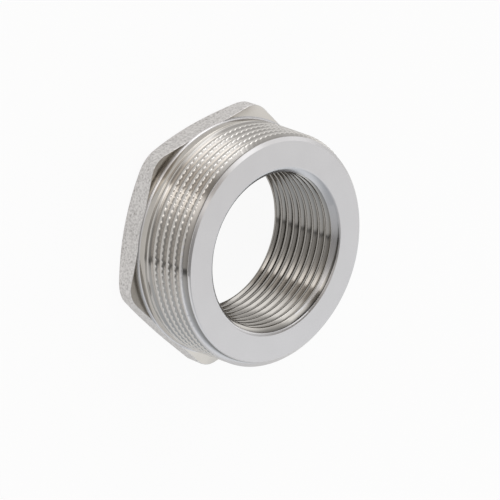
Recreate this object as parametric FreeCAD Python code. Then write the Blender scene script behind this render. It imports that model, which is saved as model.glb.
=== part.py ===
import FreeCAD, Part
import math
import os

from FreeCAD import Vector

# Hexagon head reducing bushing: a 2 inch taper pipe thread outside and a through bore
# for a 1 1/4 inch parallel pipe thread. It is cast and turned as one piece.
# Millimetres. The thread axis is +Z with the threaded end up. The origin is the centre
# of the head's back face, and two opposite corners of the hexagon lie on the X axis.

overall_height = 24.0

# Hexagon head, with rounded cast corners and a back face turned to a chamfered round
across_flats = 59.0
head_height = 6.95
corner_radius = 6.0
back_face_radius = 28.7
back_chamfer_angle = 30.0

# Plain collar in front of the head, just under the thread's crests, and the relief groove
# that the thread runs into, just under its roots. The collar slopes into it like a flank
collar_height = 2.3
collar_clearance = 0.1
relief_width = 1.0
relief_clearance = 0.05

# Outer thread, on a cone that narrows towards its chamfered end. Its groove is a sharp V
# between flat crests. The groove's angle is its bearing from +X where it meets the end
thread_end_radius = 29.31
thread_taper = 1 / 32
pitch = 2.309
thread_depth = 1.479
flank_angle = 27.5
groove_end_angle = 43.2
end_chamfer_depth = 1.64
end_chamfer_angle = 45.0

# Through bore, the minor diameter of its thread, with a countersink at each end
bore_radius = 19.476
countersink_depth = 1.524
countersink_angle = 45.0

axis_point = Vector(0, 0, 0)
axis = Vector(0, 0, 1)
relief_bottom = head_height + collar_height
relief_top = relief_bottom + relief_width


def at(radius, height):
    """A point of a section, in the XZ plane."""
    return Vector(radius, 0, height)


def revolved(*corners):
    """The solid that a closed section makes when it turns about the axis."""
    outline = [at(*corner) for corner in corners]
    section = Part.Face(Part.makePolygon(outline + outline[:1]))
    return section.revolve(axis_point, axis, 360)


def crest_radius(height):
    """Crest radius of the thread at a height above the head's back face."""
    return thread_end_radius + thread_taper * (overall_height - height)


def helix_turn(radius, height):
    """One right-hand turn of a helix that widens by the thread's taper as it rises."""
    cone_angle = math.atan(thread_taper)
    slant_pitch = pitch / math.cos(cone_angle)
    turn = Part.makeHelix(slant_pitch, slant_pitch, radius, math.degrees(cone_angle))
    turn.translate(Vector(0, 0, height))
    return turn.Edges[0]


def screw(root_radius, length):
    """A solid screw with sharp roots and sharp ridges, which widens as it rises. A root of
    the given radius starts at Z = 0, and the turns reach from one pitch below it to at
    least the given length. Each turn is two helical flanks, and a helical floor and a wall
    close each end."""
    ridge_height = pitch / 2 / math.tan(math.radians(flank_angle))
    section = [(0, 0), (ridge_height, pitch / 2), (0, pitch)]

    def corners(turn):
        """Radius and height of a turn's root, its ridge and the next root."""
        bottom = (turn - 1) * pitch
        return [(root_radius + thread_taper * (bottom + rise) + out, bottom + rise)
                for out, rise in section]

    turns = math.ceil(length / pitch) + 1
    faces = []
    for turn in range(turns):
        helices = [helix_turn(radius, height) for radius, height in corners(turn)]
        faces += [Part.makeRuledSurface(*pair) for pair in zip(helices, helices[1:])]
    for turn in (0, turns):
        outline = [at(*corner) for corner in corners(turn)]
        bottom = at(0, outline[0].z)
        top = at(0, outline[-1].z)
        core = Part.LineSegment(bottom, top).toShape()
        faces.append(Part.makeRuledSurface(helix_turn(*corners(turn)[0]), core))
        faces.append(Part.Face(Part.makePolygon([bottom] + outline + [top, bottom])))
    shell = Part.makeShell(faces)
    shell.sewShape()
    return Part.makeSolid(shell)


def head():
    """The hexagon with rounded corners, its back corners taken off by a cone."""
    corner_reach = across_flats / 2 / math.cos(math.pi / 6)
    bearings = [math.radians(bearing) for bearing in range(0, 361, 60)]
    outline = [Vector(corner_reach * math.cos(bearing), corner_reach * math.sin(bearing), 0)
               for bearing in bearings]
    prism = Part.Face(Part.makePolygon(outline)).extrude(Vector(0, 0, head_height))
    upright = [edge for edge in prism.Edges if abs(edge.tangentAt(edge.FirstParameter).z) > 0.5]
    prism = prism.makeFillet(corner_radius, upright)
    chamfer_rise = (corner_reach - back_face_radius) * math.tan(math.radians(back_chamfer_angle))
    turned = revolved((0, 0), (back_face_radius, 0), (corner_reach, chamfer_rise),
                      (corner_reach, head_height), (0, head_height))
    return prism.common(turned)


def collar():
    """The plain collar and, above it, the slope and the floor of the relief groove."""
    collar_radius = crest_radius(relief_top) - collar_clearance
    floor_radius = crest_radius(relief_top) - thread_depth - relief_clearance
    slope_rise = (collar_radius - floor_radius) * math.tan(math.radians(flank_angle))
    return revolved((0, head_height), (collar_radius, head_height), (collar_radius, relief_bottom),
                    (floor_radius, relief_bottom + slope_rise), (floor_radius, relief_top),
                    (0, relief_top))


def taper_thread():
    """The outer thread: a turned blank with a chamfered end, cut by the thread groove."""
    thread = screw(thread_end_radius - thread_depth, overall_height - relief_top)
    thread.rotate(axis_point, Vector(1, 0, 0), 180)
    thread.rotate(axis_point, axis, groove_end_angle)
    thread.translate(Vector(0, 0, overall_height))
    end_chamfer_slope = math.tan(math.radians(end_chamfer_angle))
    chamfer_bottom = overall_height - end_chamfer_depth / (end_chamfer_slope - thread_taper)
    blank = revolved((0, relief_top), (crest_radius(relief_top), relief_top),
                     (crest_radius(chamfer_bottom), chamfer_bottom),
                     (thread_end_radius - end_chamfer_depth, overall_height), (0, overall_height))
    return blank.common(thread)


def bore():
    """What is cut out of the middle: the bore and the countersink at each of its ends."""
    mouth_radius = bore_radius + countersink_depth
    sink_height = countersink_depth / math.tan(math.radians(countersink_angle))
    return revolved((0, 0), (mouth_radius, 0), (bore_radius, sink_height),
                    (bore_radius, overall_height - sink_height), (mouth_radius, overall_height),
                    (0, overall_height))


def hex_bushing():
    """The whole bushing as one solid."""
    return head().fuse([collar(), taper_thread()]).cut(bore()).removeSplitter().Solids[0]


os.makedirs("parts", exist_ok=True)
hex_bushing().exportStep("parts/hex_bushing.step")
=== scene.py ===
"""A hexagon head reducing bushing in stainless steel, dressed for a studio view.

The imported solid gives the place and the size. This script replaces it with one closed mesh
that also has the thread in its bore, the serrated crests, the bead at the collar's foot and the
cast skin of the hexagon. Sizes are in millimetres until a mesh is made. The thread axis is +Z,
and the head's back face is at Z = 0.
"""

import logging
import math
from dataclasses import dataclass, field
from enum import Enum

import bmesh
import bpy
import numpy as np
from mathutils import Euler, Matrix, Vector, noise

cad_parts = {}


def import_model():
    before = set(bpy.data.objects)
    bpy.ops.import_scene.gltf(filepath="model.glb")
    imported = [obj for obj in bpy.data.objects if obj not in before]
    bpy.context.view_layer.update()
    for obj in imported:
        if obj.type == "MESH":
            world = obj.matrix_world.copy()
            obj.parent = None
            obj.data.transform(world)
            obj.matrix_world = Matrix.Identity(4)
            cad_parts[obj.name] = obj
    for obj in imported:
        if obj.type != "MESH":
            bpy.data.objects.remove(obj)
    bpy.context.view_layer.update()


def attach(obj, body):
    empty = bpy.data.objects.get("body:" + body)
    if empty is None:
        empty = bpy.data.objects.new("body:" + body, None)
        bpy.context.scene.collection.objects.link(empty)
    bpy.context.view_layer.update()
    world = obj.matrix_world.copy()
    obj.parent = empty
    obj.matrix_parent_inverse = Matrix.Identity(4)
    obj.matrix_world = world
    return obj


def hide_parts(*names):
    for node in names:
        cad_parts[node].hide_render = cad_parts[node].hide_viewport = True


MM = 0.001
# Vertices closer than WELD become one, rows closer than APART share theirs, and surfaces whose
# levels differ by less than TOUCH count as the same. In millimetres.
WELD = 0.002
APART = 0.0001
TOUCH = 0.001
NODE = "hex_bushing"
SHADERS = ("Principled BSDF", "Background")

log = logging.getLogger("hex_bushing")


class Side(Enum):
    """Which way a turned surface faces."""

    OUTER = 1
    INNER = -1


class Finish(Enum):
    """The finishes of the mesh, in the order of its material slots."""

    CAST = 0
    TURNED = 1
    THREAD = 2
    BORE_THREAD = 3
    COLLAR = 4
    # A darker copy of the thread steel for the notches: painted shade.
    NOTCH_PAINTED_SHADE = 5


@dataclass
class Ring:
    """A closed row of vertices round the axis: their numbers, and the azimuth of each in turns."""

    vertices: np.ndarray
    azimuth: np.ndarray


class Shell:
    """Collects the vertices and faces of one closed surface."""

    def __init__(self) -> None:
        """Starts with no vertices and no faces."""
        self.points: list[np.ndarray] = []
        self.count = 0
        self.faces: list[tuple[int, ...]] = []
        self.finishes: list[int] = []

    def add_points(self, radius: np.ndarray, height: np.ndarray, azimuth: np.ndarray) -> np.ndarray:
        """Adds one vertex for each radius, height and azimuth.

        Args:
            radius: distances from the axis, in mm.
            height: heights above the head's back face, in mm.
            azimuth: turns from +X.

        Returns:
            The numbers of the new vertices.
        """
        angle = azimuth * math.tau
        self.points.append(np.stack([radius * np.cos(angle), radius * np.sin(angle),
                                     height + 0 * radius], 1))
        first = self.count
        self.count += len(radius)
        return np.arange(first, self.count)

    def add_ring(self, radius: np.ndarray | float, height: np.ndarray | float,
                 azimuth: np.ndarray) -> Ring:
        """Adds a closed row of vertices.

        Args:
            radius: one radius, or one for each azimuth, in mm.
            height: one height, or one for each azimuth, in mm.
            azimuth: turns from +X, rising through less than one turn.

        Returns:
            The new ring.
        """
        flat = np.zeros(len(azimuth))
        return Ring(self.add_points(radius + flat, height + flat, azimuth), azimuth)

    def add_face(self, corners: list[int], finish: Finish) -> None:
        """Adds a face, without any corner that repeats the one before it.

        Args:
            corners: vertex numbers in order.
            finish: the finish that the face takes.
        """
        kept = [c for i, c in enumerate(corners) if c != corners[i - 1]]
        if len(kept) > 2:
            self.faces.append(tuple(int(c) for c in kept))
            self.finishes.append(finish.value)

    def skin(self, first: Ring, second: Ring, finish: Finish) -> None:
        """Joins two rings with faces, also where one has more vertices than the other.

        Args:
            first: one ring.
            second: the other ring, whose first vertex lies beside the first one's.
            finish: the finish that the faces take.
        """
        a, b = first.vertices, second.vertices
        if len(a) == len(b):
            for i in range(len(a)):
                j = (i + 1) % len(a)
                self.add_face([a[i], a[j], b[j], b[i]], finish)
            return
        i = j = 0
        while i < len(a) or j < len(b):
            next_a = first.azimuth[i + 1] if i + 1 < len(a) else first.azimuth[0] + 1
            next_b = second.azimuth[j + 1] if j + 1 < len(b) else second.azimuth[0] + 1
            if j == len(b) or (i < len(a) and next_a <= next_b):
                self.add_face([a[i % len(a)], a[(i + 1) % len(a)], b[j % len(b)]], finish)
                i += 1
            else:
                self.add_face([b[(j + 1) % len(b)], b[j % len(b)], a[i % len(a)]], finish)
                j += 1

    def stack(self, rings: list[Ring], finish: Finish) -> None:
        """Joins each ring to the next.

        Args:
            rings: rings in order along the surface.
            finish: the finish that the faces take.
        """
        for first, second in zip(rings, rings[1:]):
            self.skin(first, second, finish)

    def mesh(self, name: str, crease_angle: float) -> bpy.types.Mesh:
        """Makes the Blender mesh, in metres, shaded smooth but for its creases.

        Args:
            name: the mesh's name.
            crease_angle: edges between faces that turn by more than this stay sharp, degrees.

        Returns:
            The mesh.
        """
        mesh = bpy.data.meshes.new(name)
        mesh.from_pydata((np.concatenate(self.points) * MM).tolist(), [], self.faces)
        mesh.polygons.foreach_set("material_index", self.finishes)
        mesh.polygons.foreach_set("use_smooth", np.ones(len(self.faces), bool))
        welded = bmesh.new()
        welded.from_mesh(mesh)
        bmesh.ops.remove_doubles(welded, verts=welded.verts, dist=WELD * MM)
        bmesh.ops.recalc_face_normals(welded, faces=welded.faces)
        welded.to_mesh(mesh)
        welded.free()
        mesh.set_sharp_from_angle(angle=math.radians(crease_angle))
        mesh.update()
        return mesh


@dataclass
class Serration:
    """Notches cut across the crests of the outer thread, deepest at their upper edges.

    Each notch takes a few columns of the mesh, and lists its share of the depth at each of them.
    Across a crest it deepens between the two shares of the crest's width in run_out. Lines at the
    plain depths keep the flank under the notches flat. Faces that are cut deeper than the painted
    shade depth take a darker copy of the thread's steel, which paints shade into the notches.
    """

    count: int = 114
    columns_each: int = 6
    notch: tuple[float, ...] = (0.0, 0.0, 0.4, 1.0, 0.4, 0.0)
    depth: float = 0.27
    plain_depths: tuple[float, ...] = (0.31, 0.39)
    run_out: tuple[float, float] = (0.4, 0.9)
    start_height: float = 11.0
    end_height: float = 22.65
    run_in: float = 0.5
    painted_shade_depth: float = 0.12

    def depths(self, column: np.ndarray) -> np.ndarray:
        """Notch depth at each column number, in mm."""
        return np.array(self.notch)[column % self.columns_each] * self.depth

    def share(self, height: np.ndarray) -> np.ndarray:
        """How much of the notch there is at each height, from 0 to 1."""
        above = np.clip((height - self.start_height) / self.run_in, 0, 1)
        return above * np.clip((self.end_height - height) / self.run_in, 0, 1)


@dataclass
class ThreadBand:
    """A turned surface with a screw thread, from one end of the thread to the other.

    The same sums make an outer and an inner thread: a level is the radius of the surface on
    the outer side, and its negative on the inner side, so metal always lies below it. The trim
    is how far below its top the band ends.
    """

    side: Side
    crest_radius: float
    bottom: float
    top: float
    columns: int
    start: float
    groove_end: float
    taper: float = 0.0
    pitch: float = 2.309
    depth: float = 1.479
    flank_angle: float = 27.5
    edge_break: float = 0.13
    edge_share: float = 0.3
    bevel_share: float = 0.5
    halvings: int = 40
    turns_below: int = 3
    turns_above: int = 2
    chamfer_depth: float = 1.64
    chamfer_slope: float = 1.0
    bottom_chamfer: bool = False
    trim: float = 0.0
    serration: Serration | None = None

    def flank_run(self) -> float:
        """How far a flank runs along the axis for each millimetre of depth."""
        return math.tan(math.radians(self.flank_angle))

    def crest(self, height: np.ndarray) -> np.ndarray:
        """Level of the plain crests at each height, in mm."""
        return self.side.value * self.crest_radius + self.taper * (self.top - height)

    def envelope(self, height: np.ndarray, centre: np.ndarray, notch: np.ndarray) -> np.ndarray:
        """Level of the surface at each height as it is before the groove is cut.

        Args:
            height: heights in mm.
            centre: height of a groove's root at each place, in mm.
            notch: the full depth of the serration at each place, in mm.

        Returns:
            The levels.
        """
        level = self.crest(height) - self.cut(height, centre, notch)
        end = self.side.value * self.crest_radius - self.chamfer_depth
        level = np.minimum(level, end + (self.top - height) * self.chamfer_slope)
        if self.bottom_chamfer:
            level = np.minimum(level, end + (height - self.bottom) * self.chamfer_slope)
        return level

    def cut(self, height: np.ndarray, centre: np.ndarray, notch: np.ndarray) -> np.ndarray:
        """How deep the serration cuts into the upper part of the crests.

        Args:
            height: heights in mm.
            centre: height of a groove's root at each place, in mm.
            notch: the full depth of the serration at each place, in mm.

        Returns:
            The depths, in mm.
        """
        if not self.serration:
            return 0 * height
        crest_width = self.pitch - 2 * self.depth * self.flank_run()
        over = (height - centre) % self.pitch - (self.pitch - crest_width) / 2
        first, last = self.serration.run_out
        across = np.clip((over / crest_width - first) / (last - first), 0, 1)
        return notch * across * self.serration.share(height)

    def groove(self, height: np.ndarray, centre: np.ndarray) -> np.ndarray:
        """Level of the groove's two flanks, which meet in a sharp root.

        Args:
            height: heights in mm.
            centre: height of the groove's root at each place, in mm.

        Returns:
            The levels.
        """
        return self.crest(height) - self.depth + np.abs(height - centre) / self.flank_run()

    def edge(self, centre: np.ndarray, notch: np.ndarray, towards: int) -> np.ndarray:
        """Height at which the groove comes out of the surface, found by halving.

        Args:
            centre: height of the groove's root at each place, in mm.
            notch: the full depth of the serration at each place, in mm.
            towards: 1 for the edge above the root, -1 for the one below it.

        Returns:
            The heights.
        """
        near = centre.copy()
        far = centre + towards * self.pitch / 2
        for _ in range(self.halvings):
            middle = (near + far) / 2
            inside = self.groove(middle, centre) < self.envelope(middle, centre, notch)
            near = np.where(inside, middle, near)
            far = np.where(inside, far, middle)
        return near

    def azimuth(self) -> np.ndarray:
        """Azimuth of each column in turns."""
        return self.start + np.arange(self.columns) / self.columns

    def chamfer_break(self, notch: np.ndarray) -> np.ndarray:
        """Height at which the crests, as notched, meet the chamfer."""
        return self.top - (self.chamfer_depth - notch) / (self.chamfer_slope - self.taper)

    def broken(self, room: np.ndarray, width: float) -> np.ndarray:
        """How much a broken edge of some width takes of the room that it has, in mm."""
        return np.minimum(width, self.edge_share * np.maximum(room, 0))

    def lines(self, centre: np.ndarray, notch: np.ndarray) -> list[np.ndarray]:
        """Heights of the lines round one groove, from the crest below it to the one above it.

        Args:
            centre: height of the groove's root at each place, in mm.
            notch: the full depth of the serration at each place, in mm.

        Returns:
            The heights of each line, in order upwards.
        """
        last_high = self.edge(centre - self.pitch, notch, 1)
        low = self.edge(centre, notch, -1)
        high = self.edge(centre, notch, 1)
        next_low = self.edge(centre + self.pitch, notch, -1)
        below = low + self.broken(centre - low, self.edge_break / 2)
        lines = [low - self.broken(low - last_high, self.edge_break), below]
        if self.serration:
            lines += [np.maximum(below, centre - (self.depth - plain) * self.flank_run())
                      for plain in self.serration.plain_depths]
        on_crest = self.broken(next_low - high, self.edge_break)
        lines += [centre, high - self.broken(high - centre, self.edge_break / 2),
                  high + on_crest]
        if self.serration:
            crest_width = np.maximum(next_low - high, 0)
            lines += [high + np.maximum(on_crest, share * crest_width)
                      for share in self.serration.run_out]
        break_top = self.chamfer_break(notch)
        if self.bottom_chamfer:
            break_bottom = self.bottom + self.top - break_top
            lines.append(np.clip(break_bottom, lines[-1], next_low - on_crest))
        lines.append(np.clip(break_top, lines[-1], next_low - on_crest))
        return lines

    def rows(self) -> tuple[np.ndarray, np.ndarray, np.ndarray, np.ndarray, int]:
        """Heights, levels, notch depths and chamfer marks of every row, in order upwards.

        Returns:
            The heights, the levels, the notch depths and 1 where a chamfer is, each with a row
            for each line of the thread and a column for each azimuth, and the number of rows
            in one pitch.
        """
        azimuth = self.azimuth()
        column = np.arange(self.columns)
        notch = self.serration.depths(column) if self.serration else np.zeros(self.columns)
        turns = math.ceil((self.top - self.bottom) / self.pitch) + self.turns_below
        heights, levels, cuts, bevels = [], [], [], []
        for turn in range(-turns, self.turns_above):
            centre = self.top + self.pitch * (azimuth - self.groove_end + turn)
            lines = self.lines(centre, notch)
            for line in lines:
                height = np.clip(line, self.bottom, self.top - self.trim)
                groove = self.groove(height, centre)
                level = np.minimum(self.envelope(height, centre, notch), groove)
                cut = self.cut(height, centre, notch)
                below_crest = self.crest(height) - cut - level > TOUCH
                heights.append(height)
                levels.append(level)
                cuts.append(np.where(below_crest, 0, cut))
                bevels.append(below_crest & (groove - level > TOUCH))
        height = np.maximum.accumulate(np.array(heights), 0)
        return height, np.array(levels), np.array(cuts), np.array(bevels, float), len(lines)

    def build(self, shell: Shell, finish: Finish) -> tuple[Ring, Ring]:
        """Adds the band to the shell.

        Args:
            shell: the shell that takes the band.
            finish: the finish of the band, apart from its notches and chamfers.

        Returns:
            The rings at the band's bottom and top.
        """
        height, level, cut, bevel, per_pitch = self.rows()
        azimuth = self.azimuth()
        count = len(height)
        number = np.zeros(height.shape, int)
        keep = np.ones(height.shape, bool)
        keep[1:] = np.diff(height, axis=0) > APART
        for column in range(self.columns):
            kept = np.flatnonzero(keep[:, column])
            radius = self.side.value * level[kept, column]
            new = shell.add_points(radius, height[kept, column],
                                   np.full(len(kept), azimuth[column]))
            number[:, column] = new[np.cumsum(keep[:, column]) - 1]
        rise = np.minimum(np.arange(count) + per_pitch, count - 1)
        wide = np.concatenate([number, number[rise, :1]], 1)
        look = np.full((count - 1, self.columns), finish)
        look[self.over_faces(bevel, rise) >= self.bevel_share] = Finish.TURNED
        # Faces cut deep in the notches take the darker notch steel, which is painted shade.
        if self.serration:
            look[self.over_faces(cut, rise) > self.serration.painted_shade_depth] = Finish.NOTCH_PAINTED_SHADE
        for row in range(count - 1):
            for column in range(self.columns):
                corners = [wide[row, column], wide[row, column + 1],
                           wide[row + 1, column + 1], wide[row + 1, column]]
                if corners[0] != corners[3] or corners[1] != corners[2]:
                    shell.add_face(corners, look[row, column])
        return Ring(number[0], azimuth), Ring(number[-1], azimuth)

    @staticmethod
    def over_faces(values: np.ndarray, rise: np.ndarray) -> np.ndarray:
        """The mean over each face of a value that every vertex has.

        Args:
            values: the value at each row and column.
            rise: the row that each row joins after one turn.

        Returns:
            The means, one fewer row than the values.
        """
        wide = np.concatenate([values, values[rise, :1]], 1)
        return (wide[:-1, :-1] + wide[:-1, 1:] + wide[1:, 1:] + wide[1:, :-1]) / 4


@dataclass
class HexHead:
    """The cast hexagon: flats with a blasted skin, a turned front face and a turned back."""

    across_flats: float = 59.0
    height: float = 6.95
    corner_radius: float = 6.0
    back_face_radius: float = 28.7
    back_chamfer_angle: float = 30.0
    front_edge: float = 0.15
    back_edge: float = 0.25
    back_edge_bow: float = 0.25
    sides: int = 6
    skin_depth: float = 0.035
    skin_grain: float = 1.6
    broad_grain: float = 4.0
    broad_share: float = 1.5
    flat_rows: int = 12
    edge_rows: int = 4

    def outline(self, azimuth: np.ndarray, inset: float | np.ndarray) -> np.ndarray:
        """Radius of the hexagon's outline, moved inwards.

        Args:
            azimuth: turns from +X.
            inset: how far the outline moves in, in mm.

        Returns:
            The radius at each azimuth, in mm.
        """
        half_side = math.pi / self.sides
        apothem = self.across_flats / 2
        centre = (apothem - self.corner_radius) / math.cos(half_side)
        radius = self.corner_radius - inset
        off = np.abs((azimuth * self.sides + 0.5) % 1 - 0.5) * math.tau / self.sides
        tangent = np.arctan2(radius / 2, centre + radius * math.cos(half_side))
        arc = centre * np.cos(off) + np.sqrt(
            np.maximum(radius ** 2 - (centre * np.sin(off)) ** 2, 0))
        flat = (apothem - inset) / np.cos(half_side - off)
        return np.where(off < tangent, arc, flat)

    def cone_height(self, radius: np.ndarray) -> np.ndarray:
        """Height of the back chamfer at each radius, in mm."""
        return (radius - self.back_face_radius) * math.tan(math.radians(self.back_chamfer_angle))

    def skin(self, radius: np.ndarray, height: np.ndarray, azimuth: np.ndarray) -> np.ndarray:
        """The unevenness of the casting at each place.

        Args:
            radius: radii in mm.
            height: heights in mm.
            azimuth: turns from +X.

        Returns:
            How far the surface stands out there, in mm.
        """
        angle = azimuth * math.tau
        places = np.stack([radius * np.cos(angle), radius * np.sin(angle), height], 1)
        lumps = [noise.noise(Vector(place / self.skin_grain)) for place in places]
        broad = [noise.noise(Vector(place / self.skin_grain / self.broad_grain))
                 for place in places]
        return (np.array(lumps) + self.broad_share * np.array(broad)) * self.skin_depth / 2

    def build(self, shell: Shell, front_ring: Ring, front_radius: float, back_ring: Ring) -> None:
        """Adds the front face, the flats, the back chamfer and the back face.

        Args:
            shell: the shell that takes them.
            front_ring: the inner edge of the front face.
            front_radius: radius of that edge where no flat cuts into it, in mm.
            back_ring: the inner edge of the back face.
        """
        azimuth = front_ring.azimuth
        outer = self.outline(azimuth, 0.0)
        edge = np.clip(outer - front_radius, 0, self.front_edge)
        rings = [front_ring]
        for step in range(self.edge_rows + 1):
            turn = step / self.edge_rows * math.pi / 2
            share = math.sin(turn)
            radius = self.outline(azimuth, edge * (1 - share))
            height = self.height - edge * (1 - math.cos(turn))
            radius = radius + share * self.skin(radius, height, azimuth)
            rings.append(shell.add_ring(radius, height, azimuth))
        shell.skin(rings[0], rings[1], Finish.COLLAR)
        shell.stack(rings[1:], Finish.CAST)
        base = self.cone_height(outer)
        top = self.height - edge
        low = base + self.back_edge
        rings = rings[-1:]
        for step in range(1, self.flat_rows + 1):
            height = top + (low - top) * step / self.flat_rows
            radius = outer + self.skin(outer, height, azimuth)
            rings.append(shell.add_ring(radius, height, azimuth))
        tuck = outer - self.back_edge
        rings.append(shell.add_ring(tuck + self.back_edge * (1 - self.back_edge_bow),
                                    base + self.back_edge * self.back_edge_bow, azimuth))
        shell.stack(rings, Finish.CAST)
        foot = shell.add_ring(tuck, self.cone_height(tuck), azimuth)
        heel = shell.add_ring(self.back_face_radius, 0.0, azimuth)
        shell.stack([rings[-1], foot, heel, back_ring], Finish.TURNED)


@dataclass
class Collar:
    """The plain collar in front of the head, which slopes into the relief groove above it.

    The fillet at its foot stands out as a bead where the hexagon's flats cut into the collar.
    """

    radius: float = 29.64
    base: float = 6.95
    height: float = 2.3
    relief_width: float = 1.0
    relief_radius: float = 28.21
    slope_rise: float = 0.744
    fillet: float = 0.55
    bead: float = 0.32
    edge_break: float = 0.1
    fillet_rows: int = 6

    def build(self, shell: Shell, thread_ring: Ring, head: HexHead) -> Ring:
        """Adds the relief and the collar, down to the head's front face.

        Args:
            shell: the shell that takes them.
            thread_ring: the lower edge of the thread.
            head: the head, whose flats cut the fillet back to the bead.

        Returns:
            The ring at the foot of the fillet.
        """
        azimuth = thread_ring.azimuth
        shoulder = self.base + self.height
        profile = [(self.relief_radius, shoulder + self.relief_width),
                   (self.relief_radius, shoulder + self.slope_rise),
                   (self.radius - self.edge_break, shoulder + self.edge_break / 2),
                   (self.radius, shoulder - self.edge_break)]
        wall = [thread_ring] + [shell.add_ring(*corner, azimuth) for corner in profile]
        rings = []
        reach = np.maximum(head.outline(azimuth, 0.0), self.radius + self.bead)
        for step in range(self.fillet_rows + 1):
            turn = step / self.fillet_rows * math.pi / 2
            radius = np.minimum(self.radius + self.fillet * (1 - math.cos(turn)), reach)
            height = self.base + self.fillet * (1 - math.sin(turn))
            rings.append(shell.add_ring(radius, height, azimuth))
        shell.stack(wall + rings[:1], Finish.COLLAR)
        # The fillet takes the paler turned steel rather than the darker collar steel: partly its
        # own turned finish, partly a painted highlight on the bead.
        shell.stack(rings, Finish.TURNED)
        return rings[-1]

    def foot_radius(self) -> float:
        """Radius of the fillet where it meets the head's front face."""
        return self.radius + self.fillet


@dataclass
class Bushing:
    """The whole bushing as one closed mesh, with a small lip round the bore's front mouth."""

    height: float = 24.0
    start: float = 263.97 / 360
    head: HexHead = field(default_factory=HexHead)
    collar: Collar = field(default_factory=Collar)
    serration: Serration = field(default_factory=Serration)
    outer_crest_radius: float = 29.31
    outer_taper: float = 1 / 32
    outer_groove_end: float = 43.2 / 360
    bore_radius: float = 19.476
    countersink: float = 1.524
    bore_columns: int = 342
    bore_groove_end: float = 144.2 / 360
    lip_height: float = 0.3
    lip_width: float = 0.5
    lip_support: float = 0.06
    crease_angle: float = 40.0

    def outer_thread(self) -> ThreadBand:
        """The serrated taper thread outside."""
        return ThreadBand(
            side=Side.OUTER, crest_radius=self.outer_crest_radius,
            bottom=self.collar.base + self.collar.height + self.collar.relief_width,
            top=self.height, columns=self.serration.count * self.serration.columns_each,
            start=self.start, groove_end=self.outer_groove_end, taper=self.outer_taper,
            serration=self.serration)

    def bore_thread(self) -> ThreadBand:
        """The parallel thread in the bore, with the countersink at each end."""
        return ThreadBand(
            side=Side.INNER, crest_radius=self.bore_radius, bottom=0.0, top=self.height,
            columns=self.bore_columns, start=self.start, groove_end=self.bore_groove_end,
            chamfer_depth=self.countersink, bottom_chamfer=True, trim=self.lip_height)

    def build(self) -> bpy.types.Object:
        """Makes the mesh and its object, and puts it in the scene.

        Returns:
            The object.
        """
        shell = Shell()
        thread_bottom, thread_top = self.outer_thread().build(shell, Finish.THREAD)
        bore_bottom, bore_top = self.bore_thread().build(shell, Finish.BORE_THREAD)
        azimuth = bore_top.azimuth
        lip_radius = self.bore_radius + self.countersink - self.lip_height + self.lip_width
        lip = shell.add_ring(lip_radius, self.height, azimuth)
        face = shell.add_ring(lip_radius + self.lip_support, self.height, azimuth)
        shell.skin(thread_top, face, Finish.TURNED)
        shell.stack([face, lip, bore_top], Finish.TURNED)
        foot = self.collar.build(shell, thread_bottom, self.head)
        self.head.build(shell, foot, self.collar.foot_radius(), bore_bottom)
        bushing = bpy.data.objects.new("bushing", shell.mesh("bushing", self.crease_angle))
        bpy.context.scene.collection.objects.link(bushing)
        return bushing

    def dress(self, bushing: bpy.types.Object) -> None:
        """Gives the mesh its finishes.

        Args:
            bushing: the object.
        """
        # The thread and bore steels take painted shade towards their thread roots.
        finishes = (CastSkin(), TurnedSteel("turned_steel"),
                    TurnedSteel("thread_steel", pale=steel(0.64, 0.62, 0.595),
                                dull=steel(0.54, 0.52, 0.495), roughness=0.07, ring_depth=0.0008,
                                root_radius=27.9, painted_shade_reach=0.9, painted_root_shade=0.75),
                    TurnedSteel("bore_steel", pale=steel(0.54, 0.52, 0.49),
                                dull=steel(0.43, 0.41, 0.385), roughness=0.09, ring_depth=0.0008,
                                root_radius=20.95, painted_shade_reach=1.1, painted_root_shade=0.3),
                    TurnedSteel("collar_steel", pale=steel(0.59, 0.565, 0.53),
                                dull=steel(0.49, 0.465, 0.43), roughness=0.12, ring_depth=0.0008),
                    # A darker copy of the thread steel: painted shade in the notches.
                    TurnedSteel("notch_painted_shade_steel", pale=steel(0.6, 0.58, 0.555),
                                dull=steel(0.5, 0.48, 0.455), roughness=0.09))
        for finish in finishes:
            bushing.data.materials.append(finish.material())


class Shade:
    """A number in a material: a socket on which Python's operators add Math nodes."""

    def __init__(self, graph: "Graph", socket: bpy.types.NodeSocket) -> None:
        """Wraps a socket of the graph."""
        self.graph = graph
        self.socket = socket

    def math(self, operation: str, *values: "Shade | float") -> "Shade":
        """A Math node on these values.

        Args:
            operation: the node's operation.
            values: its inputs, in order.

        Returns:
            Its result.
        """
        inputs = {index: value for index, value in enumerate(values)}
        node = self.graph.node("ShaderNodeMath", {"operation": operation}, inputs)
        return Shade(self.graph, node.outputs[0])

    def __add__(self, other: "Shade | float") -> "Shade":
        """self + other."""
        return self.math("ADD", self, other)

    def __radd__(self, other: float) -> "Shade":
        """other + self."""
        return self.math("ADD", other, self)

    def __sub__(self, other: "Shade | float") -> "Shade":
        """self - other."""
        return self.math("SUBTRACT", self, other)

    def __rsub__(self, other: float) -> "Shade":
        """other - self."""
        return self.math("SUBTRACT", other, self)

    def __mul__(self, other: "Shade | float") -> "Shade":
        """self * other."""
        return self.math("MULTIPLY", self, other)

    def __rmul__(self, other: float) -> "Shade":
        """other * self."""
        return self.math("MULTIPLY", other, self)

    def __truediv__(self, other: "Shade | float") -> "Shade":
        """self / other."""
        return self.math("DIVIDE", self, other)

    def __pow__(self, other: float) -> "Shade":
        """self ** other."""
        return self.math("POWER", self, other)

    def ramp(self, low: float, high: float) -> "Shade":
        """0 below low, 1 above high, and a smooth step between them.

        Args:
            low: where the step starts.
            high: where it ends.

        Returns:
            The step.
        """
        node = self.graph.node("ShaderNodeMapRange", {"interpolation_type": "SMOOTHSTEP"},
                               {"Value": self, "From Min": low, "From Max": high})
        return Shade(self.graph, node.outputs["Result"])


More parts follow.
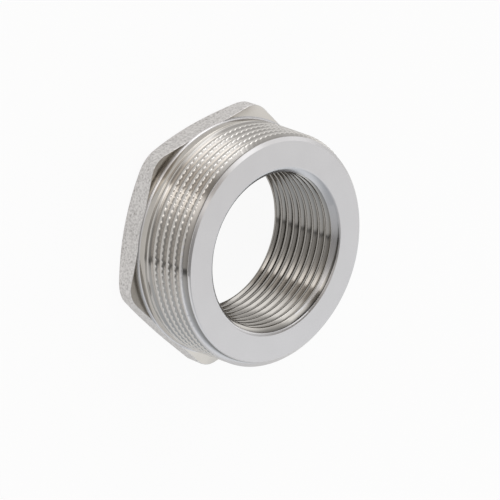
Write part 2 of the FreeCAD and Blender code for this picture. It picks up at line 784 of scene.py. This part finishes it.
class Graph:
    """The nodes of one material, or of the world."""

    def __init__(self, owner: bpy.types.Material | bpy.types.World) -> None:
        """Turns on the owner's nodes and finds its shader."""
        owner.use_nodes = True
        self.tree = owner.node_tree
        self.surface = next(node for node in self.tree.nodes if node.name in SHADERS)

    def node(self, kind: str, settings: dict | None = None,
             inputs: dict | None = None) -> bpy.types.Node:
        """Adds a node.

        Args:
            kind: the node's type.
            settings: its properties, which are set first.
            inputs: values or links of its sockets, by name or number.

        Returns:
            The node.
        """
        node = self.tree.nodes.new(kind)
        for name, value in (settings or {}).items():
            if name == "stops":
                self.set_stops(node.color_ramp, value)
            else:
                setattr(node, name, value)
        for key, value in (inputs or {}).items():
            self.feed(node.inputs[key], value)
        return node

    @staticmethod
    def set_stops(ramp: bpy.types.ColorRamp, stops: list[tuple[float, tuple]]) -> None:
        """Gives a colour ramp its stops.

        Args:
            ramp: the ramp.
            stops: the place, from 0 to 1, and the colour of each stop, in order.
        """
        while len(ramp.elements) > 1:
            ramp.elements.remove(ramp.elements[-1])
        ramp.elements[0].position, ramp.elements[0].color = stops[0]
        for place, colour in stops[1:]:
            ramp.elements.new(place).color = colour

    def feed(self, socket: bpy.types.NodeSocket, value: object) -> None:
        """Links or sets a socket.

        Args:
            socket: the input socket.
            value: a shade, a socket or a plain value.
        """
        if isinstance(value, Shade):
            value = value.socket
        if isinstance(value, bpy.types.NodeSocket):
            self.tree.links.new(value, socket)
        else:
            socket.default_value = value

    def place(self) -> bpy.types.NodeSocket:
        """The place on the object, in millimetres."""
        coordinates = self.node("ShaderNodeTexCoord").outputs["Object"]
        return self.node("ShaderNodeVectorMath", {"operation": "SCALE"},
                         {"Vector": coordinates, "Scale": 1 / MM}).outputs["Vector"]

    def parts(self, vector: bpy.types.NodeSocket) -> tuple[Shade, Shade, Shade]:
        """The three parts of a vector."""
        split = self.node("ShaderNodeSeparateXYZ", None, {"Vector": vector})
        return tuple(Shade(self, output) for output in split.outputs)

    def grain(self, vector: bpy.types.NodeSocket, size: float, detail: float = 2.0,
              roughness: float = 0.5) -> Shade:
        """Noise from 0 to 1.

        Args:
            vector: the place, in mm.
            size: the size of its patches, in mm.
            detail: how many finer layers it has.
            roughness: how strong they are.

        Returns:
            The noise.
        """
        node = self.node("ShaderNodeTexNoise", None,
                         {"Vector": vector, "Scale": 1 / size, "Detail": detail,
                          "Roughness": roughness})
        return Shade(self, node.outputs["Fac"])

    def blend(self, amount: Shade, low: object, high: object) -> bpy.types.NodeSocket:
        """A colour between two.

        Args:
            amount: 0 for the first, 1 for the second.
            low: the first colour.
            high: the second colour.

        Returns:
            The mixed colour.
        """
        node = self.node("ShaderNodeMix", {"data_type": "RGBA"}, {0: amount, 6: low, 7: high})
        return node.outputs[2]

    def product(self, first: object, second: object) -> bpy.types.NodeSocket:
        """Two colours multiplied."""
        node = self.node("ShaderNodeMix", {"data_type": "RGBA", "blend_type": "MULTIPLY"},
                         {0: 1.0, 6: first, 7: second})
        return node.outputs[2]

    def bump(self, height: Shade, depth: float) -> bpy.types.NodeSocket:
        """A bumped normal.

        Args:
            height: the height, from 0 to 1.
            depth: how deep 1 is, in mm.

        Returns:
            The normal.
        """
        node = self.node("ShaderNodeBump", None, {"Height": height, "Distance": depth * MM})
        return node.outputs["Normal"]

    def metal(self, colour: bpy.types.NodeSocket, roughness: Shade,
              normal: bpy.types.NodeSocket) -> None:
        """Makes the shader a bare metal.

        Args:
            colour: its colour.
            roughness: its roughness.
            normal: its bumped normal.
        """
        self.surface.inputs["Metallic"].default_value = 1.0
        self.feed(self.surface.inputs["Base Color"], colour)
        self.feed(self.surface.inputs["Roughness"], roughness)
        self.feed(self.surface.inputs["Normal"], normal)


def steel(red: float, green: float, blue: float) -> tuple[float, float, float, float]:
    """A colour with full alpha."""
    return (red, green, blue, 1.0)


WHITE = steel(1.0, 1.0, 1.0)


@dataclass(frozen=True)
class CastSkin:
    """Blasted cast stainless steel: matt, grainy and a little warm, with small dark pits."""

    pale: tuple = steel(0.85, 0.835, 0.825)
    dull: tuple = steel(0.57, 0.555, 0.545)
    pit: tuple = steel(0.42, 0.4, 0.38)
    grain_size: float = 0.6
    grain_depth: float = 0.13
    grain_detail: float = 3.0
    grain_layers: float = 0.6
    grain_step: tuple[float, float] = (0.36, 0.64)
    grain_share: float = 0.75
    broad_size: float = 5.4
    pit_size: float = 0.6
    pit_detail: float = 1.0
    pit_step: tuple[float, float] = (0.24, 0.32)
    roughness: float = 0.52
    polish: float = 0.14

    def material(self) -> bpy.types.Material:
        """Builds the material.

        Returns:
            The material.
        """
        material = bpy.data.materials.new("cast_skin")
        graph = Graph(material)
        place = graph.place()
        fine = graph.grain(place, self.grain_size, self.grain_detail, self.grain_layers)
        broad = graph.grain(place, self.broad_size)
        tone = fine.ramp(*self.grain_step) * self.grain_share + broad * (1 - self.grain_share)
        pits = graph.grain(place, self.pit_size, self.pit_detail).ramp(*self.pit_step)
        colour = graph.blend(pits, self.pit, graph.blend(tone, self.dull, self.pale))
        graph.metal(colour, self.roughness - self.polish * fine,
                    graph.bump(fine, self.grain_depth))
        return material


@dataclass(frozen=True)
class TurnedSteel:
    """Steel from the lathe: smooth, with fine rings round the axis.

    It takes painted shade towards the roots of a thread, where shade falls in the groove. At the
    root's radius the colour is multiplied by the painted root shade, which fades out within the
    painted shade reach.
    """

    name: str
    pale: tuple = steel(0.63, 0.62, 0.625)
    dull: tuple = steel(0.57, 0.56, 0.565)
    roughness: float = 0.22
    ring_pitch: float = 0.11
    ring_depth: float = 0.0006
    ring_roughness: float = 0.06
    wander_size: float = 6.0
    wander_reach: float = 2.0
    wander_share: float = 0.6
    root_radius: float = 0.0
    painted_shade_reach: float = 1.0
    painted_root_shade: float = 1.0

    def material(self) -> bpy.types.Material:
        """Builds the material.

        Returns:
            The material.
        """
        material = bpy.data.materials.new(self.name)
        graph = Graph(material)
        place = graph.place()
        x, y, z = graph.parts(place)
        radius = (x * x + y * y) ** 0.5
        wander = graph.grain(place, self.wander_size)
        section = graph.node("ShaderNodeCombineXYZ", None,
                             {"X": radius / self.ring_pitch + wander * self.wander_reach,
                              "Y": z / self.ring_pitch})
        lines = graph.node("ShaderNodeTexNoise", {"noise_dimensions": "2D"},
                           {"Vector": section.outputs[0], "Scale": 1.0})
        rings = Shade(graph, lines.outputs["Fac"])
        tone = wander * self.wander_share + rings * (1 - self.wander_share)
        # Painted shade: the colour darkens towards the thread's root, where shade falls in the
        # groove.
        off_root = radius - self.root_radius
        shade_free = off_root.math("ABSOLUTE", off_root).ramp(0.0, self.painted_shade_reach)
        root = steel(self.painted_root_shade, self.painted_root_shade, self.painted_root_shade)
        colour = graph.product(graph.blend(tone, self.dull, self.pale),
                               graph.blend(shade_free, root, WHITE))
        graph.metal(colour, self.roughness + self.ring_roughness * rings,
                    graph.bump(rings, self.ring_depth))
        return material


@dataclass
class Studio:
    """The camera, the floor, the world and the lamp.

    The world is a pale tent with darker and brighter panels. Each panel is given by what the
    surfaces of the part mirror towards the camera: its bearing is that of the surface's normal,
    and its ring is set by how steep the surface is. A row of the tent lists bearings in degrees
    from +X, the tone there, and how warm it is. The tones between them blend.
    """

    camera_place: tuple[float, float, float] = (-87.40, -414.91, 439.22)
    camera_right: tuple[float, float, float] = (-0.19026, 0.72197, 0.66530)
    camera_down: tuple[float, float, float] = (0.97044, 0.03582, 0.23870)
    camera_ahead: tuple[float, float, float] = (0.14851, 0.69105, -0.70740)
    lens: float = 176.0
    sensor_width: float = 36.0
    clip_start: float = 10.0
    floor_size: float = 4000.0
    floor_colour: tuple = steel(0.9, 0.895, 0.885)
    floor_glow: float = 0.93
    mirrored_glow: float = 0.45
    tent_lean: tuple[float, float, float] = (-0.149, -0.692, 0.707)
    tent: tuple[tuple[tuple[float, float, float], ...], ...] = (
        ((0, 0.6, -0.04), (120, 0.6, -0.03), (160, 0.75, 0.0), (184, 0.72, 0.0),
         (196, 0.42, 0.04), (206, 0.3, 0.06), (228, 0.26, 0.06), (241.3, 0.3, 0.09),
         (242.3, 0.78, 0.05), (256, 0.62, 0.04), (270, 0.46, 0.04), (282.4, 0.4, 0.03),
         (283, 0.05, 0.0), (285.4, 0.05, 0.0), (286, 0.62, 0.0), (300, 0.64, -0.01),
         (318, 0.7, -0.02), (332, 0.85, -0.02), (345, 0.85, -0.02)),
        ((0, 0.55, -0.03), (120, 0.55, -0.02), (160, 0.65, 0.0), (182, 0.64, 0.0),
         (190, 0.54, 0.01), (204, 0.64, 0.01), (209, 1.0, 0.0), (212, 1.5, 0.0),
         (219, 1.5, 0.0), (227, 1.15, 0.0), (231.5, 0.75, 0.03), (233, 0.33, 0.07),
         (243.4, 0.2, 0.09), (244.2, 1.8, 0.03), (250, 1.5, 0.03), (258, 0.5, 0.03),
         (265, 0.27, 0.03), (280.6, 0.25, 0.02), (281.1, 0.02, 0.0), (283.2, 0.02, 0.0),
         (283.7, 0.5, 0.0), (296, 0.54, -0.03), (318, 0.5, -0.06), (340, 0.5, -0.05)),
        ((0, 0.6, -0.01), (120, 0.55, -0.01), (160, 0.65, 0.0), (188, 0.6, 0.0),
         (202, 0.75, 0.01), (210, 1.45, 0.0), (219, 1.45, 0.0), (228, 0.95, 0.02),
         (233, 0.55, 0.06), (243.4, 0.45, 0.08), (244.4, 1.3, 0.03), (250, 1.15, 0.03),
         (257, 0.55, 0.03), (266, 0.36, 0.02), (280.4, 0.34, 0.02), (281.2, 0.1, 0.0),
         (283.2, 0.1, 0.0), (284, 0.58, 0.0), (298, 0.6, -0.02), (318, 0.55, -0.03)))
    tent_edges: tuple[float, ...] = (0.534, 0.8)
    tent_seam: float = 0.004
    horizon: tuple[float, float] = (0.15, 0.5)
    horizon_strength: float = 1.0
    lamp_bearing: float = 75.0
    lamp_rise: float = 45.0
    lamp_distance: float = 1000.0
    lamp_size: tuple[float, float] = (700.0, 520.0)
    lamp_radiance: float = 0.42

    def build(self) -> None:
        """Builds all of it."""
        self.camera()
        self.floor()
        self.world()
        self.lamp()

    def camera(self) -> None:
        """Adds the camera at the view that the part is drawn from."""
        data = bpy.data.cameras.new("camera")
        data.lens = self.lens
        data.sensor_width = self.sensor_width
        data.clip_start = self.clip_start * MM
        camera = bpy.data.objects.new("camera", data)
        columns = [Vector(self.camera_right), -Vector(self.camera_down),
                   -Vector(self.camera_ahead)]
        turn = Matrix(columns).transposed().to_4x4()
        camera.matrix_world = Matrix.Translation(Vector(self.camera_place) * MM) @ turn
        bpy.context.scene.collection.objects.link(camera)
        bpy.context.scene.camera = camera

    def floor(self) -> None:
        """Adds the pale floor, which the camera sees as white but for the part's shadow."""
        half = self.floor_size / 2 * MM
        mesh = bpy.data.meshes.new("floor")
        corners = [(-half, -half, 0), (half, -half, 0), (half, half, 0), (-half, half, 0)]
        mesh.from_pydata(corners, [], [(0, 1, 2, 3)])
        floor = bpy.data.objects.new("floor", mesh)
        bpy.context.scene.collection.objects.link(floor)
        material = bpy.data.materials.new("floor")
        graph = Graph(material)
        graph.surface.inputs["Base Color"].default_value = self.floor_colour
        graph.surface.inputs["Roughness"].default_value = 1.0
        graph.surface.inputs["Specular IOR Level"].default_value = 0.0
        ray = graph.node("ShaderNodeLightPath")
        glow = graph.node("ShaderNodeEmission", None, {"Color": WHITE, "Strength": 1.0})
        camera, glossy, through = (Shade(graph, ray.outputs[f"Is {kind} Ray"])
                                   for kind in ("Camera", "Glossy", "Transmission"))
        glowing = camera * self.floor_glow + (glossy + through) * self.mirrored_glow
        mix = graph.node("ShaderNodeMixShader", None,
                         {0: glowing, 1: graph.surface.outputs[0], 2: glow.outputs[0]})
        output = graph.tree.nodes["Material Output"]
        graph.feed(output.inputs["Surface"], mix.outputs[0])
        floor.data.materials.append(material)

    def world(self) -> None:
        """Lights the scene from all round with the tent, which is brighter near the horizon."""
        world = bpy.data.worlds.new("studio")
        graph = Graph(world)
        direction = graph.node("ShaderNodeTexCoord").outputs["Generated"]
        leaning = graph.node("ShaderNodeVectorMath", {"operation": "ADD"},
                             {0: direction, 1: self.tent_lean}).outputs["Vector"]
        east, north, upright = graph.parts(leaning)
        turns = north.math("ARCTAN2", north, east) / math.tau
        bearing = turns.math("FRACT", turns)
        spread = (east * east + north * north) ** 0.5 / upright
        rings = []
        for panels in self.tent:
            stops = [(degrees / 360, steel(tone * (1 + warmth), tone, tone * (1 - warmth)))
                     for degrees, tone, warmth in panels]
            ramp = graph.node("ShaderNodeValToRGB", {"stops": stops}, {"Fac": bearing})
            rings.append(ramp.outputs["Color"])
        walls = rings[0]
        for edge, ring in zip(self.tent_edges, rings[1:]):
            beyond = spread.ramp(edge - self.tent_seam, edge + self.tent_seam)
            walls = graph.blend(beyond, walls, ring)
        horizon = 1 - graph.parts(direction)[2].ramp(*self.horizon)
        graph.feed(graph.surface.inputs["Color"], walls)
        graph.feed(graph.surface.inputs["Strength"], 1.0 + self.horizon_strength * horizon)
        bpy.context.scene.world = world

    def lamp(self) -> None:
        """Adds the soft area lamp behind the part, which faces it."""
        data = bpy.data.lights.new("back_lamp", "AREA")
        data.shape = "RECTANGLE"
        data.size, data.size_y = (side * MM for side in self.lamp_size)
        data.energy = self.lamp_radiance * math.pi * data.size * data.size_y
        lamp = bpy.data.objects.new("back_lamp", data)
        turn = Euler((0, -math.radians(self.lamp_rise),
                      math.radians(self.lamp_bearing))).to_matrix()
        lamp.location = turn @ Vector((self.lamp_distance * MM, 0, 0))
        lamp.rotation_euler = (-lamp.location).to_track_quat("-Z", "Y").to_euler()
        bpy.context.scene.collection.objects.link(lamp)


def main() -> None:
    """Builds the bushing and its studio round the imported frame."""
    logging.basicConfig(level=logging.INFO, format="%(name)s: %(message)s")
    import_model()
    part = Bushing()
    bushing = part.build()
    part.dress(bushing)
    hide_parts(NODE)
    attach(bushing, "root")
    triangles = sum(len(face.vertices) - 2 for face in bushing.data.polygons)
    log.info("%s: %d triangles", bushing.name, triangles)
    Studio().build()
    bpy.context.scene.view_settings.view_transform = "Standard"


if __name__ == "__main__":
    main()
